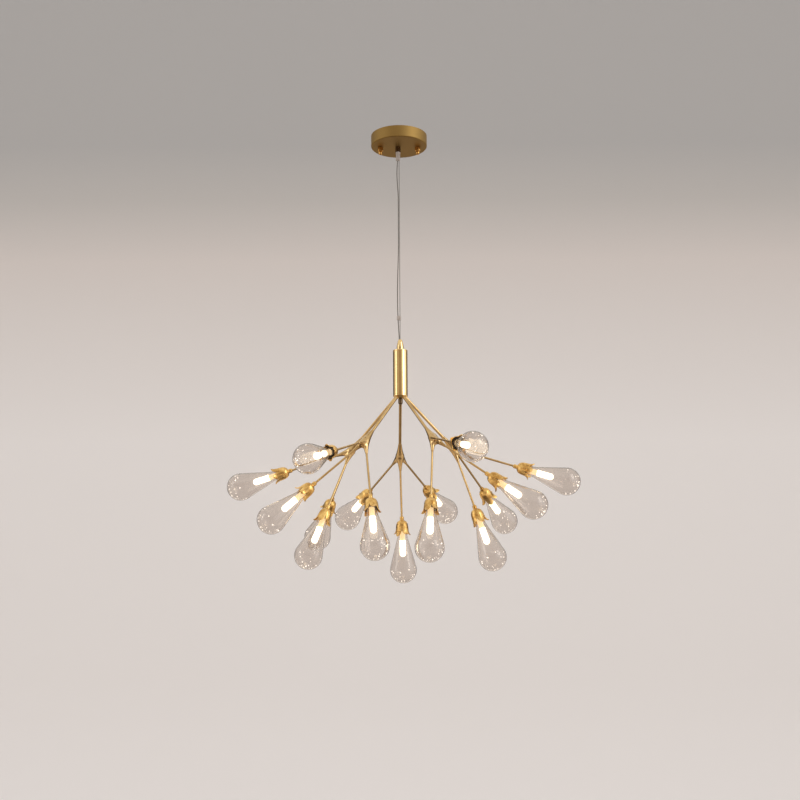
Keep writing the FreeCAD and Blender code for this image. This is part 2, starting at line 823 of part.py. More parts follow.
def arm():
    """One arm, from its socket in the fork to its socket in the calyx."""
    start = fork_leg_length - fork_socket_depth
    return ring(arm_diameter / 2, arm_bore / 2, start, arm_reach + calyx_collar_length)


def sepal_notch():
    """The gap between two sepals, as a solid to cut away: pointed below, with curved sides."""
    inner_mouth_radius = calyx_mouth_diameter / 2 - calyx_wall
    half_pitch = inner_mouth_radius * math.sin(math.pi / sepal_count) - sepal_tip_width / 2
    high = calyx_mouth_height + cut_margin
    rise = high - sepal_notch_height
    waist_z = sepal_notch_height + rise * sepal_waist_place
    waist = half_pitch * sepal_waist_share
    foot = vector(0, 0, sepal_notch_height)
    left = vector(0, -half_pitch, high)
    right = vector(0, half_pitch, high)
    sides = [
        Part.Arc(foot, vector(0, waist, waist_z), right).toShape(),
        Part.LineSegment(right, left).toShape(),
        Part.Arc(left, vector(0, -waist, waist_z), foot).toShape(),
    ]
    return Part.Face(Part.Wire(sides)).extrude(vector(calyx_mouth_diameter, 0, 0))


def calyx():
    """The cast flower calyx: a collar for the arm, a bell round the glass neck, and flared sepals."""
    foot_radius = calyx_collar_diameter / 2
    bell_radius = calyx_bell_diameter / 2
    mouth_radius = calyx_mouth_diameter / 2
    shoulder = (calyx_shoulder_diameter / 2, calyx_shoulder_height)
    bell_top = (bell_radius, calyx_bell_height)
    flare_middle = (calyx_bell_height + calyx_mouth_height) / 2
    flare_radius = bell_radius + (mouth_radius - bell_radius) * calyx_flare_share
    body = turned(
        (0, 0),
        (foot_radius, 0),
        (foot_radius, calyx_collar_length),
        (shoulder, bell_top),
        ((flare_radius, flare_middle), (mouth_radius, calyx_mouth_height)),
        (mouth_radius - calyx_wall, calyx_mouth_height),
        ((flare_radius - calyx_wall, flare_middle), (bell_radius - calyx_wall, calyx_bell_height)),
        (glass_bore_radius, calyx_bell_height),
        (glass_bore_radius, calyx_ledge_height),
        (holder_bore_radius, calyx_ledge_height),
        (holder_bore_radius, calyx_floor_top),
        (0, calyx_floor_top),
    )
    body = body.cut(cylinder(arm_diameter / 2 + thread_gap, -cut_margin, calyx_collar_length))
    body = body.cut(cylinder(arm_bore / 2, 0, calyx_floor_top + cut_margin))
    notch = sepal_notch()
    for i in range(sepal_count):
        turned_notch = notch.copy()
        turned_notch.rotate(vector(0, 0, 0), vector(0, 0, 1), 360 * i / sepal_count)
        body = body.cut(turned_notch)
    return body


def lampholder():
    """The round lampholder on the calyx's floor, with two pin holes and a lead way."""
    top = calyx_floor_top + holder_length
    body = cylinder(holder_diameter / 2, calyx_floor_top, top)
    hole_radius = lamp_pin_diameter / 2 + thread_gap
    for side in (-1, 1):
        hole_foot = top - lamp_pin_length - seat_gap
        body = body.cut(cylinder(hole_radius, hole_foot, top + cut_margin, side * holder_pin_spacing / 2))
    way_top = top - lamp_pin_length - seat_gap - holder_web
    return body.cut(cylinder(arm_bore / 2, calyx_floor_top - cut_margin, way_top))


def led_capsule():
    """The lamp: two pins, a base and a round-ended capsule."""
    base_top = lamp_foot + lamp_base_length
    lamp_top = lamp_foot + lamp_length
    base_radius = lamp_base_diameter / 2
    capsule_radius = lamp_diameter / 2
    dome_z = lamp_top - capsule_radius
    slant = math.sin(math.radians(45))
    lamp = turned(
        (0, lamp_foot),
        (base_radius, lamp_foot),
        (base_radius, base_top),
        (capsule_radius, base_top),
        (capsule_radius, dome_z),
        ((capsule_radius * slant, dome_z + capsule_radius * slant), (0, lamp_top)),
    )
    for side in (-1, 1):
        pin_x = side * holder_pin_spacing / 2
        pin = cylinder(lamp_pin_diameter / 2, lamp_foot - lamp_pin_length, lamp_foot + cut_margin, pin_x)
        lamp = lamp.fuse(pin)
    return lamp


def drop_outline(neck_radius, neck_top, ball_radius):
    """The steps of a drop's outline from the top of its neck: a straight flank that meets the ball
    tangent, then the ball's arc to its far end."""
    rise = glass_ball_height - neck_top
    reach = math.hypot(rise, neck_radius)
    flank_angle = math.asin(ball_radius / reach) - math.atan2(neck_radius, rise)
    touch = (
        ball_radius * math.cos(flank_angle),
        glass_ball_height - ball_radius * math.sin(flank_angle),
    )
    middle_angle = (math.radians(90) - flank_angle) / 2
    middle = (
        ball_radius * math.cos(middle_angle),
        glass_ball_height + ball_radius * math.sin(middle_angle),
    )
    end = (0, glass_ball_height + ball_radius)
    return [(neck_radius, neck_top), touch, (middle, end)]


def glass_drop():
    """The blown drop: a straight neck on the calyx's ledge, a cone that widens, and a round end."""
    outer_radius = glass_neck_diameter / 2
    inner_radius = outer_radius - glass_wall
    neck_top = calyx_ledge_height + glass_neck_length
    outer_ball = glass_ball_diameter / 2
    outer_steps = drop_outline(outer_radius, neck_top, outer_ball)
    inner_steps = drop_outline(inner_radius, neck_top, outer_ball - glass_wall)
    outer = turned((0, calyx_ledge_height), (outer_radius, calyx_ledge_height), *outer_steps)
    inner_foot = calyx_ledge_height - cut_margin
    inner = turned((0, inner_foot), (inner_radius, inner_foot), *inner_steps)
    return outer.cut(inner)


def on_arms(shape, branch, distance):
    """Three copies of a shape, one on each arm of a branch, at a distance from the fork's centre."""
    centre = fork_centre(branch)
    directions = arm_directions(branch)
    return Part.makeCompound([placed(shape, centre + way * distance, way) for way in directions])


# ---------------------------------------------------------------- every node
def all_nodes():
    """The solid or group of solids of each node, by name."""
    cable = power_cable()
    nodes = {
        "ceiling_crossbar": ceiling_crossbar(),
        "canopy_cup": canopy_cup(),
        "canopy_studs": canopy_studs(),
        "canopy_knob_nuts": canopy_knob_nuts(),
        "led_driver": led_driver(),
        "terminal_block": terminal_block(),
        "cord_grip_nut": cord_grip_nut(),
        "cord_grip_collar": cord_grip_collar(),
        "cord_grip_cone": cord_grip_cone(),
        "cord_grip_bush": cord_grip_bush(),
        "wire_top_end": wire_top_end(),
        "driver_lead": driver_lead(),
        "suspension_wire": suspension_wire(),
        "power_cable": cable,
        "cable_clip": cable_clip(cable),
        "wire_end_ferrule": wire_end_ferrule(),
        "finial": finial(),
        "wire_seat_washer": wire_seat_washer(),
        "stem_top_cap": stem_top_cap(),
        "stem_tube": stem_tube(),
        "stem_bridge": stem_bridge(),
        "branch_hub": branch_hub(),
        "hub_bolt": hub_bolt(),
        "stem_lead": stem_lead(),
        "lead_splice": lead_splice(),
    }
    one_arm = arm()
    one_calyx = calyx()
    one_holder = lampholder()
    one_lamp = led_capsule()
    one_drop = glass_drop()
    for name, branch in branches.items():
        nodes["main_rod_" + name] = main_rod(branch)
        nodes["fork_" + name] = fork(branch)
        nodes["arms_" + name] = on_arms(one_arm, branch, 0)
        nodes["calyxes_" + name] = on_arms(one_calyx, branch, arm_reach)
        nodes["lampholders_" + name] = on_arms(one_holder, branch, arm_reach)
        nodes["led_capsules_" + name] = on_arms(one_lamp, branch, arm_reach)
        nodes["glass_drops_" + name] = on_arms(one_drop, branch, arm_reach)
    return nodes


def main():
    """Builds every node and writes it under its own name."""
    os.makedirs("parts", exist_ok=True)
    for name, shape in all_nodes().items():
        shape.exportStep("parts/" + name + ".step")
        print(name, len(shape.Solids), "solids", round(shape.Volume / 1000, 2), "cm3", shape.isValid())


main()
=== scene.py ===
import json
import math
import random

import bmesh
import bpy
from mathutils import Matrix, Vector

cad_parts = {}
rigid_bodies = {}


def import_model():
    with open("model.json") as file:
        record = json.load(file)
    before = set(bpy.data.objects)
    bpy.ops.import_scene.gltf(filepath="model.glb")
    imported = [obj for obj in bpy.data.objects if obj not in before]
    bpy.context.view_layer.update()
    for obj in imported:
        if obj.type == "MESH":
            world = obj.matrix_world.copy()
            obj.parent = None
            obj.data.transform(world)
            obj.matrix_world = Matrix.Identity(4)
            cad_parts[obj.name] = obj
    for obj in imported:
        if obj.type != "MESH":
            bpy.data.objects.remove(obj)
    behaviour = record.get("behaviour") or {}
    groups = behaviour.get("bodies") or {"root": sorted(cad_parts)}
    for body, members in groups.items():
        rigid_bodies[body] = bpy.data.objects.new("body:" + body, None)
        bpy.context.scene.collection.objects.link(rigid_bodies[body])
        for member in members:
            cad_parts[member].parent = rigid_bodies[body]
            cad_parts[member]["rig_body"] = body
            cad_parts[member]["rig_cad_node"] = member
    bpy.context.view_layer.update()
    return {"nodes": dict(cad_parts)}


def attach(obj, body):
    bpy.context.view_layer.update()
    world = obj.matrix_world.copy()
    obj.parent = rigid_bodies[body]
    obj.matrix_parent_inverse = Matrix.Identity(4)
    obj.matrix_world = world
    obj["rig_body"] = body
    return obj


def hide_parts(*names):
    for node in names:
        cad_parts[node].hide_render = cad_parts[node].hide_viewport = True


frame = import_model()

# The branch chandelier's looks.  Metres, Z up, origin on the ceiling plane at the canopy's axis.
MM = 0.001
UP = Vector((0, 0, 1))
# The wire hangs on the axis, and the cable leaves the grip this far to its left.
CABLE_OFFSET = 3.6 * MM

# ---------------------------------------------------------------- the branches, as in the part's source
RODS_MEET = Vector((0, 0, -565 * MM))
FORK_DISTANCE = 160.5 * MM
ARM_REACH = 129.0 * MM
# In degrees: the rod's azimuth, its lean from straight down and the fork's turn about it, then each arm's
# lean from the rod and what its turn has beyond a third of a circle.
BRANCHES = {
    "front_left": (230, 43, 24, [(32.5, 3), (32.5, -3), (33, 0)]),
    "left": (161, 43, 23, [(32, 0), (33.5, 0), (32.5, 0)]),
    "back": (91, 44, 64, [(32, 0), (32.5, -1), (32.5, 2)]),
    "right": (16, 45, -37, [(32, 0), (32.5, -1), (32, 1)]),
    "front_right": (304, 45, -32, [(34.5, 1), (32.5, 0), (31.5, -1)]),
}


def branch_lines(branch):
    """A branch's rod direction, its fork's centre and the directions of its three arms."""
    azimuth, lean, turn, arms = BRANCHES[branch]
    azimuth, lean = math.radians(azimuth), math.radians(lean)
    outward = Vector((math.cos(azimuth), math.sin(azimuth), 0))
    sideways = Vector((-math.sin(azimuth), math.cos(azimuth), 0))
    along = outward * math.sin(lean) - UP * math.cos(lean)
    across = outward * math.cos(lean) + UP * math.sin(lean)
    directions = []
    for i, (arm_lean, extra) in enumerate(arms):
        arm_lean, around = math.radians(arm_lean), math.radians(turn + 120 * i + extra)
        spread = across * math.cos(around) + sideways * math.sin(around)
        directions.append(along * math.cos(arm_lean) + spread * math.sin(arm_lean))
    return along, RODS_MEET + along * FORK_DISTANCE, directions


# ---------------------------------------------------------------- shader maths
class Value:
    """A number or colour that changes over a surface, so that shader maths reads as an expression."""

    def __init__(self, finish, socket):
        self.finish = finish
        self.socket = socket

    def maths(self, operation, first, second=0.0):
        return self.finish.node("ShaderNodeMath", {"operation": operation}, {0: first, 1: second})[0]

    def __add__(self, other):
        return self.maths("ADD", self, other)

    def __radd__(self, other):
        return self.maths("ADD", other, self)

    def __sub__(self, other):
        return self.maths("SUBTRACT", self, other)

    def __rsub__(self, other):
        return self.maths("SUBTRACT", other, self)

    def __mul__(self, other):
        return self.maths("MULTIPLY", self, other)

    def __truediv__(self, other):
        return self.maths("DIVIDE", self, other)

    def angle_from(self, x):
        """The angle in the plane of a point whose y is this value."""
        return self.maths("ARCTAN2", self, x)

    def sine(self):
        return self.maths("SINE", self)

    def clamped(self):
        return self.maths("MINIMUM", self.maths("MAXIMUM", self, 0.0), 1.0)


GENERATED, OBJECT = 0, 3  # outputs of Texture Coordinate
GLOSSY_RAY = 3  # output of Light Path


class Finish:
    """One material, or the surround, being put together."""

    def __init__(self, name, kind="materials"):
        self.material = getattr(bpy.data, kind).new(name)
        self.material.use_nodes = True
        self.tree = self.material.node_tree
        self.tree.nodes.clear()
        self.place = self.node("ShaderNodeTexCoord")[GENERATED if kind == "worlds" else OBJECT]

    def node(self, kind, settings=None, sockets=None):
        """Adds a node, with its settings first and then its sockets' values or links, and gives back its
        outputs."""
        made = self.tree.nodes.new(kind)
        for name, setting in (settings or {}).items():
            if name == "stops":
                ramp = made.color_ramp
                while len(ramp.elements) < len(setting):
                    ramp.elements.new(0.5)
                for element, (at, colour) in zip(ramp.elements, setting):
                    element.position = at
                    element.color = (*colour, 1)
            else:
                setattr(made, name, setting)
        for name, value in (sockets or {}).items():
            socket = made.inputs[name]
            if isinstance(value, Value):
                self.tree.links.new(value.socket, socket)
            elif isinstance(value, tuple) and socket.type == "RGBA" and len(value) == 3:
                socket.default_value = (*value, 1)
            else:
                socket.default_value = value
        return [Value(self, output) for output in made.outputs]

    def noise(self, scale, detail=3.0, roughness=0.5, place=None):
        """A soft random pattern from 0 to 1."""
        sockets = {"Vector": place or self.place, "Scale": scale, "Detail": detail, "Roughness": roughness}
        return self.node("ShaderNodeTexNoise", None, sockets)[0]

    def axes(self):
        """The place's x, y and z."""
        return self.node("ShaderNodeSeparateXYZ", None, {0: self.place})

    def stretched(self, x, y, z):
        """The place on the object with each axis stretched, for grain and streaks."""
        return self.node("ShaderNodeVectorMath", {"operation": "MULTIPLY"}, {0: self.place, 1: (x, y, z)})[0]

    def blend(self, amount, first, second):
        """A colour between two, by the Mix node's colour sockets."""
        sockets = {0: amount, 6: first, 7: second}
        return self.node("ShaderNodeMix", {"data_type": "RGBA"}, sockets)[2]

    def bump(self, height, strength, distance):
        sockets = {"Height": height, "Strength": strength, "Distance": distance}
        return self.node("ShaderNodeBump", None, sockets)[0]

    def surface(self, **sockets):
        """The main shader, by socket names with spaces as underscores, joined to the output."""
        named = {name.replace("_", " "): value for name, value in sockets.items()}
        shader = self.node("ShaderNodeBsdfPrincipled", None, named)[0]
        self.node("ShaderNodeOutputMaterial", None, {"Surface": shader})
        return self.material


def plated_gold(name, tone, deep, roughness, grain=900.0):
    """Polished plating: faint cloudiness in the colour and fine hairlines in the polish."""
    finish = Finish(name)
    cloud = finish.noise(35.0, 4.0)
    fine = finish.noise(grain, 2.0)
    hairlines = finish.noise(1.0, 3.0, 0.6, finish.stretched(2600.0, 2600.0, 90.0))
    colour = finish.blend((cloud * 1.6 - 0.35).clamped(), deep, tone)
    return finish.surface(
        Base_Color=colour,
        Metallic=1.0,
        Roughness=(roughness + (cloud - 0.5) * 0.10 + (fine - 0.5) * 0.05).clamped(),
        Normal=finish.bump(hairlines, 0.10, 0.00004),
    )


def spun_gold(name, tone, deep, roughness):
    """A spun surface: fine rings round the canopy's axis under a satin polish."""
    finish = Finish(name)
    radius = finish.node("ShaderNodeVectorMath", {"operation": "LENGTH"}, {0: finish.stretched(1, 1, 0)})[1]
    height = finish.axes()[2]
    across_rings = {"W": radius * 2400.0 + height * 2100.0}
    rings = finish.node("ShaderNodeTexNoise", {"noise_dimensions": "1D"}, across_rings)[0]
    cloud = finish.noise(28.0, 4.0)
    return finish.surface(
        Base_Color=finish.blend((cloud * 1.5 - 0.3).clamped(), deep, tone),
        Metallic=1.0,
        Roughness=(roughness + (rings - 0.5) * 0.16 + (cloud - 0.5) * 0.08).clamped(),
        Normal=finish.bump(rings, 0.22, 0.00005),
    )


def cast_gold(name, tone, deep):
    """Cast and polished gold: soft waves and pits from the mould, and random dark patches of painted shade in
    its colour.
    """
    finish = Finish(name)
    waves = finish.noise(130.0, 3.0, 0.55)
    pits = finish.noise(700.0, 2.0)
    # These random patches blend in the deep colour as painted shade, for dark brown shadows; they also vary
    # the roughness.
    painted_shade_patches = finish.noise(70.0, 4.0, 0.6)
    return finish.surface(
        Base_Color=finish.blend((painted_shade_patches * 3.0 - 0.95).clamped(), deep, tone),
        Metallic=1.0,
        Roughness=(0.20 + painted_shade_patches * 0.16 + (pits - 0.5) * 0.08).clamped(),
        Normal=finish.bump(waves * 0.8 + pits * 0.2, 0.45, 0.0005),
    )


def plain_metal(name, tone, deep, roughness):
    """Machined or zinc-plated steel with a light grain."""
    finish = Finish(name)
    grain = finish.noise(1.0, 3.0, 0.6, finish.stretched(1500.0, 1500.0, 120.0))
    spots = finish.noise(160.0, 3.0)
    return finish.surface(
        Base_Color=finish.blend((spots * 1.6 - 0.3).clamped(), deep, tone),
        Metallic=1.0,
        Roughness=(roughness + (grain - 0.5) * 0.2).clamped(),
        Normal=finish.bump(grain, 0.15, 0.00005),
    )


def moulded(name, tone, deep, roughness):
    """Moulded plastic or ceramic with a very fine orange-peel skin."""
    finish = Finish(name)
    skin = finish.noise(1400.0, 2.0)
    cloud = finish.noise(60.0, 3.0)
    return finish.surface(
        Base_Color=finish.blend(cloud, deep, tone),
        Roughness=(roughness + (skin - 0.5) * 0.15).clamped(),
        Normal=finish.bump(skin, 0.15, 0.00005),
    )


def clear(name, tint, roughness, index, ripple):
    """Clear glass, faintly tinted, with the slow ripples that blowing leaves."""
    finish = Finish(name)
    waves = finish.noise(70.0, 2.0, 0.4)
    smears = finish.noise(45.0, 3.0)
    return finish.surface(
        Base_Color=finish.blend(smears, tint, tuple(min(1.0, t * 1.03) for t in tint)),
        Roughness=(roughness + smears * 0.015).clamped(),
        Transmission_Weight=1.0,
        IOR=index,
        Normal=finish.bump(waves, 0.3, ripple),
    )


def frosted(name, tone, deep):
    """Cloudy clear plastic that lets some light through."""
    finish = Finish(name)
    cloud = finish.noise(220.0, 3.0)
    skin = finish.noise(1800.0, 2.0)
    return finish.surface(
        Base_Color=finish.blend(cloud, deep, tone),
        Roughness=(0.22 + cloud * 0.18).clamped(),
        Transmission_Weight=0.35,
        Normal=finish.bump(skin, 0.2, 0.00005),
    )


def glowing(name, body, glow, strength):
    """A glowing piece with a faint frost in its glow: a lit lamp part, or bubbles whose glow is a painted
    glint.
    """
    finish = Finish(name)
    frost = finish.noise(300.0, 2.0)
    return finish.surface(
        Base_Color=body,
        Roughness=(0.4 + frost * 0.1).clamped(),
        Emission_Color=finish.blend(frost * 0.4, glow, body),
        Emission_Strength=strength,
    )


def stranded_wire(name, tone, deep):
    """A steel wire rope on the axis: strands that wind round it."""
    finish = Finish(name)
    x, y, z = finish.axes()
    strands = (y.angle_from(x) * 7.0 + z * 4600.0).sine() * 0.5 + 0.5
    return finish.surface(
        Base_Color=finish.blend(strands, deep, tone),
        Metallic=1.0,
        Roughness=(0.42 - strands * 0.12).clamped(),
        Normal=finish.bump(strands, 0.8, 0.0001),
    )


def cored_cable(name, tone, deep):
    """A clear sheath over two tinned cores that wind slowly round each other."""
    finish = Finish(name)
    x, y, z = finish.axes()
    cores = (y.angle_from(x + CABLE_OFFSET) * 2.0 + z * 420.0).sine() * 0.5 + 0.5
    return finish.surface(
        Base_Color=finish.blend(cores, deep, tone),
        Metallic=(cores * 0.5).clamped(),
        Roughness=(0.34 - cores * 0.14).clamped(),
        Coat_Weight=(0.2 + cores * 0.2).clamped(),
        Normal=finish.bump(cores, 0.3, 0.0001),
    )


FINISHES = {
    "canopy": spun_gold("satin gold of the canopy", (0.35, 0.232, 0.080), (0.29, 0.187, 0.062), 0.56),
    "stem": plated_gold("polished gold of the stem", (0.92, 0.70, 0.37), (0.84, 0.61, 0.29), 0.14),
    "rod": plated_gold("polished gold of the rods", (0.80, 0.59, 0.31), (0.50, 0.33, 0.14), 0.16, 1400.0),
    "knob": plated_gold("polished gold of the knob nuts", (0.80, 0.50, 0.18), (0.58, 0.32, 0.09), 0.22),
    # The calyxes' deep colour is the dark brown of their painted shade.
    "calyx": cast_gold("cast gold of the calyxes", (1.0, 0.69, 0.26), (0.50, 0.26, 0.06)),
    "dark": plated_gold("dark plating of grip and bolt", (0.22, 0.16, 0.10), (0.12, 0.08, 0.05), 0.28),
    "steel": plain_metal("zinc-plated steel", (0.66, 0.66, 0.64), (0.48, 0.48, 0.46), 0.38),
    "wire": stranded_wire("steel wire rope", (0.20, 0.19, 0.18), (0.05, 0.047, 0.045)),
    "inner": plain_metal("machined inner metal", (0.62, 0.58, 0.48), (0.46, 0.42, 0.34), 0.34),
    "white": moulded("white plastic of the driver", (0.86, 0.86, 0.84), (0.80, 0.80, 0.78), 0.5),
    "cream": moulded("cream plastic", (0.86, 0.80, 0.64), (0.80, 0.73, 0.56), 0.35),
    "ceramic": moulded("white ceramic of the lampholders", (0.88, 0.87, 0.83), (0.80, 0.79, 0.75), 0.28),
    "grip": frosted("frosted plastic of grip and clip", (0.66, 0.58, 0.52), (0.48, 0.41, 0.36)),
    "sheath": cored_cable("clear cable with tinned cores", (0.13, 0.11, 0.09), (0.035, 0.03, 0.025)),
    "glass": clear("blown glass of the drops", (0.835, 0.795, 0.765), 0.0, 1.46, 0.0006),
    # The bubbles glow: painted glints that stand in for the lamps' light caught in them.
    "bubble": glowing("bubbles in the glass glowing as painted glints", (1.0, 0.97, 0.90), (1.0, 0.93, 0.82), 1.9),
    "base": glowing("lamp base lit from within", (0.95, 0.80, 0.52), (1.0, 0.70, 0.34), 0.9),
    "glow": glowing("lit capsule", (1.0, 0.94, 0.80), (1.0, 0.84, 0.58), 3.4),
}


# ---------------------------------------------------------------- ways of modelling
# Points this near a plane lie in it, and points this near each other are merged.
NEAR = 0.01 * MM
DOUBLES = 0.002 * MM
# An end that closes to a point is drawn with this radius in millimetres.
SPECK = 0.02


def alone():
    """Leaves edit mode and selects nothing."""
    if bpy.context.object and bpy.context.object.mode == "EDIT":
        bpy.ops.object.mode_set(mode="OBJECT")
    bpy.ops.object.select_all(action="DESELECT")


def take(piece):
    """Selects one piece alone and makes it active."""
    alone()
    piece.select_set(True)
    bpy.context.view_layer.objects.active = piece


def pick(piece, test):
    """In edit mode, selects the points that a test on their place picks out."""
    mesh = bmesh.from_edit_mesh(piece.data)
    for point in mesh.verts:
        point.select = bool(test(point.co))
    mesh.select_mode = {"VERT"}
    mesh.select_flush_mode()
    bmesh.update_edit_mesh(piece.data)


def modified(piece, kind, **settings):
    """Adds a modifier and applies it."""
    take(piece)
    modifier = piece.modifiers.new(kind.lower(), kind)
    for name, value in settings.items():
        setattr(modifier, name, value)
    bpy.ops.object.modifier_apply(modifier=modifier.name)


def outward(piece):
    """Merges doubles and turns every face outwards."""
    take(piece)
    bpy.ops.object.mode_set(mode="EDIT")
    bpy.ops.mesh.select_all(action="SELECT")
    bpy.ops.mesh.remove_doubles(threshold=DOUBLES)
    bpy.ops.mesh.normals_make_consistent(inside=False)
    bpy.ops.object.mode_set(mode="OBJECT")
    return piece


def smoothed(piece, angle=35):
    """Shades a piece smooth except across sharp edges."""
    take(piece)
    bpy.ops.object.shade_smooth_by_angle(angle=math.radians(angle))
    return piece


def turned(name, outline, around=48, tidy=True):
    """A turned form: a ring of points drawn along an outline of radius and height in millimetres.  A radius
    of nought is drawn as a speck and then merged to a point."""
    alone()
    radius, height = outline[0]
    radius = max(radius, SPECK)
    bpy.ops.mesh.primitive_circle_add(vertices=around, radius=radius * MM, enter_editmode=True)
    piece = bpy.context.object
    piece.name = name
    bpy.ops.transform.translate(value=(0, 0, height * MM))
    for next_radius, next_height in outline[1:]:
        next_radius = max(next_radius, SPECK)
        move = (0, 0, (next_height - height) * MM)
        bpy.ops.mesh.extrude_region_move(TRANSFORM_OT_translate={"value": move})
        share = next_radius / radius
        bpy.ops.transform.resize(value=(share, share, 1), center_override=(0, 0, next_height * MM))
        radius, height = next_radius, next_height
    for end_radius, end_height in (outline[0], outline[-1]):
        if end_radius == 0:
            pick(piece, lambda co: co.xy.length < 2 * SPECK * MM and abs(co.z - end_height * MM) < NEAR)
            bpy.ops.mesh.merge(type="CENTER")
    bpy.ops.object.mode_set(mode="OBJECT")
    return outward(piece) if tidy else piece


def arc(centre, radius, start, steps):
    """Points of radius and height on an arc about a centre on the axis, from an angle above level in
    degrees up to the top."""
    points = []
    for i in range(steps):
        angle = math.radians(start + (90 - start) * i / steps)
        points.append((radius * math.cos(angle), centre + radius * math.sin(angle)))
    return points + [(0, centre + radius)]


def copied(piece, name):
    """A copy with its own mesh."""
    copy = piece.copy()
    copy.data = piece.data.copy()
    copy.name = name
    bpy.context.scene.collection.objects.link(copy)
    return copy


def set_in_place(piece, matrix):
    """Puts a place, turn and size into the piece's mesh and leaves the object at the origin."""
    take(piece)
    piece.matrix_world = matrix
    bpy.ops.object.transform_apply(location=True, rotation=True, scale=True)
    return piece


def joined(pieces, name):
    """Several pieces made one."""
    take(pieces[0])
    for piece in pieces[1:]:
        piece.select_set(True)
    if len(pieces) > 1:
        bpy.ops.object.join()
    whole = bpy.context.view_layer.objects.active
    whole.name = name
    whole.data.name = name
    return whole


def removed(*pieces):
    """Deletes patterns that were only copied from."""
    alone()
    for piece in pieces:
        bpy.data.objects.remove(piece, do_unlink=True)


def fitted(piece, finish, body, slot, *nodes):
    """Gives a piece its finish and body, and says which nodes it stands for. The slot is not used."""
    piece.data.materials.clear()
    piece.data.materials.append(FINISHES[finish])
    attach(piece, body)
    if nodes:
        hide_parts(*nodes)


def arm_place(branch, i, spin):
    """The place of a form that is modelled up Z from its calyx's foot, on a branch's arm."""
    _, centre, directions = branch_lines(branch)
    direction = directions[i]
    turn = UP.rotation_difference(direction).to_matrix().to_4x4()
    spun = Matrix.Rotation(math.radians(spin), 4, "Z")
    return Matrix.Translation(centre + direction * ARM_REACH) @ turn @ spun


# ---------------------------------------------------------------- cords
# The cable's route is the one in the part's source: points x, y in millimetres and the share of the way
# from the grip's mouth down to the finial's tip.
GRIP_MOUTH = -55.0
FINIAL_TIP = -453.5
CABLE_ROUTE = [
    (-4.0, 0.2, 0.028),
    (-4.9, 0.5, 0.068),
    (-4.3, 0.7, 0.123),
    (-2.4, 0.6, 0.183),
    (-2.1, 0.3, 0.264),
    (-2.3, -0.2, 0.377),
    (-2.2, -0.4, 0.490),
    (-3.4, -0.3, 0.590),
    (-4.9, 0.0, 0.703),
    (-5.0, 0.2, 0.796),
    (-4.4, 0.0, 0.862),
    (-3.9, -0.1, 0.902),
    (-2.5, 0.0, 0.956),
    (-1.8, 0.0, 0.990),
]
CABLE_FOOT = (-1.8, 0.0, -459.2)
WIRE_HEIGHTS = (-56.34, -190.0, -330.0, -467.8)


def cord(name, points, diameter):
    """A smooth cord with round section through its control points, given in millimetres."""
    data = bpy.data.curves.new(name, "CURVE")
    data.dimensions = "3D"
    data.bevel_depth = diameter / 2
    data.bevel_resolution = 6
    data.resolution_u = 8
    data.use_fill_caps = True
    line = data.splines.new("NURBS")
    line.points.add(len(points) - 1)
    for point, (x, y, z) in zip(line.points, points):
        point.co = (x * MM, y * MM, z * MM, 1)
    line.order_u = 3
    line.use_endpoint_u = True
    piece = bpy.data.objects.new(name, data)
    bpy.context.scene.collection.objects.link(piece)
    return piece


def hang_cords():
    """The steel wire and the clear cable beside it, from the grip to the finial."""
    top = -56.67
    points = [(-3.6, 0.0, top)]
    points += [(x, y, GRIP_MOUTH - share * (GRIP_MOUTH - FINIAL_TIP)) for x, y, share in CABLE_ROUTE]
    points.append(CABLE_FOOT)
    cable = cord("clear_cable", points, 1.8 * MM)
    fitted(cable, "sheath", "suspension", "cable_clear", "power_cable")
    wire = cord("steel_wire", [(0, 0, height) for height in WIRE_HEIGHTS], 1.2 * MM)
    fitted(wire, "wire", "suspension", "wire_steel", "suspension_wire")


# ---------------------------------------------------------------- calyx
BELL = [
    (2.4, 0.0),
    (3.7, 0.2),
    (4.3, 1.4),
    (4.4, 6.4),
    (4.0, 7.5),
    (4.7, 8.3),
    (7.3, 9.5),
    (9.7, 11.5),
    (11.4, 14.2),
    (12.4, 17.4),
    (13.0, 20.6),
    (13.2, 23.6),
]
# Rows of a sepal above the bell: radius and height, then the width left of the row below.
CLOSED_SEPAL = [
    (13.4, 27.0, 0.99),
    (13.5, 30.5, 0.98),
    (13.9, 34.0, 0.95),
    (14.9, 37.2, 0.87),
    (16.5, 39.9, 0.68),
]
OPEN_SEPAL = [
    (13.6, 26.8, 0.99),
    (14.3, 29.8, 0.96),
    (15.9, 32.6, 0.90),
    (18.0, 34.6, 0.78),
    (20.2, 35.4, 0.58),
]
CLOSED_TIP = (18.4, 41.6)
OPEN_TIP = (22.0, 35.2)
# Angles in degrees round the bell.
SEPALS = 5
FIRST_SEPAL_ANGLE = 126
SEPAL_HALF_ANGLE = 36.5
CALYX_WALL = 1.25 * MM
# A low rib runs up the middle of each sepal from this height.
RIB_FOOT = 9 * MM
RIB_RISE = 0.45 * MM


